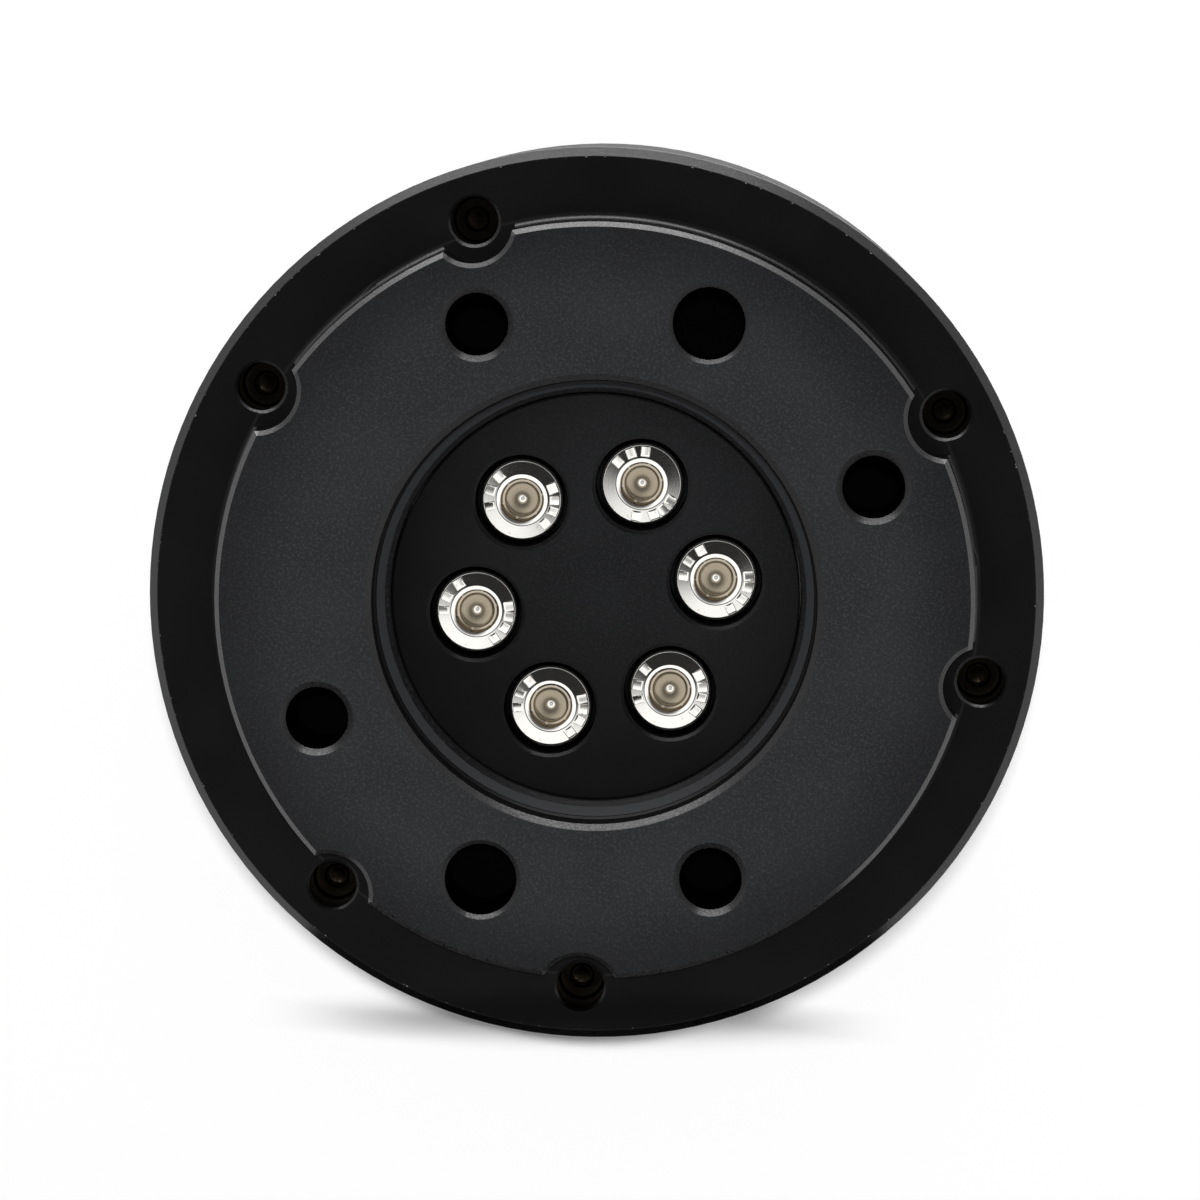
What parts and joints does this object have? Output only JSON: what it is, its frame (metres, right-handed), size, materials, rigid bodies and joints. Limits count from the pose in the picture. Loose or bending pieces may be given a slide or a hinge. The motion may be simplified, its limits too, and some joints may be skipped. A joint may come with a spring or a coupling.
{
  "type": "force torque sensor",
  "caption": "Round wrist sensor with a raised tool flange, a screwed hub in its central recess, mounting holes on both faces and a flush cable socket in its side.",
  "frame": {"origin": "centre of the robot-side face, at the bottom of the sensor", "axes": "+Z along the sensor's axis towards the tool, +X towards the cable socket"},
  "size_m": [0.075, 0.075, 0.035],
  "materials": {
    "flange_black": "fine bead blast, black anodised",
    "element_alloy": "machined, black anodised",
    "housing_black": "fine bead blast, black anodised",
    "hub_screw_steel": "turned and polished",
    "rim_screw_steel": "turned and polished",
    "pin_steel": "ground",
    "seal_rubber": "matt",
    "gauge_foil": "polyimide film",
    "flex_film": "polyimide film",
    "board_green": "solder mask",
    "standoff_brass": "turned",
    "small_screw_steel": "plated",
    "chip_black": "moulded",
    "component_grey": "moulded",
    "component_tan": "ceramic",
    "connector_cream": "moulded",
    "socket_metal": "matt plated",
    "insert_black": "moulded",
    "contact_gold": "gold plated",
    "lead_sleeve": "sleeved wire"
  },
  "bodies": {
    "root": {"tool_flange": "flange_black", "sensing_element": "element_alloy", "housing": "housing_black", "hub_screws": "hub_screw_steel", "rim_screws": "rim_screw_steel", "hub_pins": "pin_steel", "rim_pins": "pin_steel", "gap_seal": "seal_rubber", "hub_seal": "seal_rubber", "strain_gauges": "gauge_foil", "gauge_flex": "flex_film", "circuit_board": "board_green", "board_standoffs": "standoff_brass", "board_screws": "small_screw_steel", "processor_chip": "chip_black", "converter_chips": "chip_black", "power_parts": "component_grey", "board_passives": "component_tan", "flex_connector": "connector_cream", "lead_header": "connector_cream", "socket_shell": "socket_metal", "socket_insert": "insert_black", "socket_contacts": "contact_gold", "socket_nut": "socket_metal", "socket_seal": "seal_rubber", "socket_leads": "lead_sleeve"}
  },
  "joints": []
}
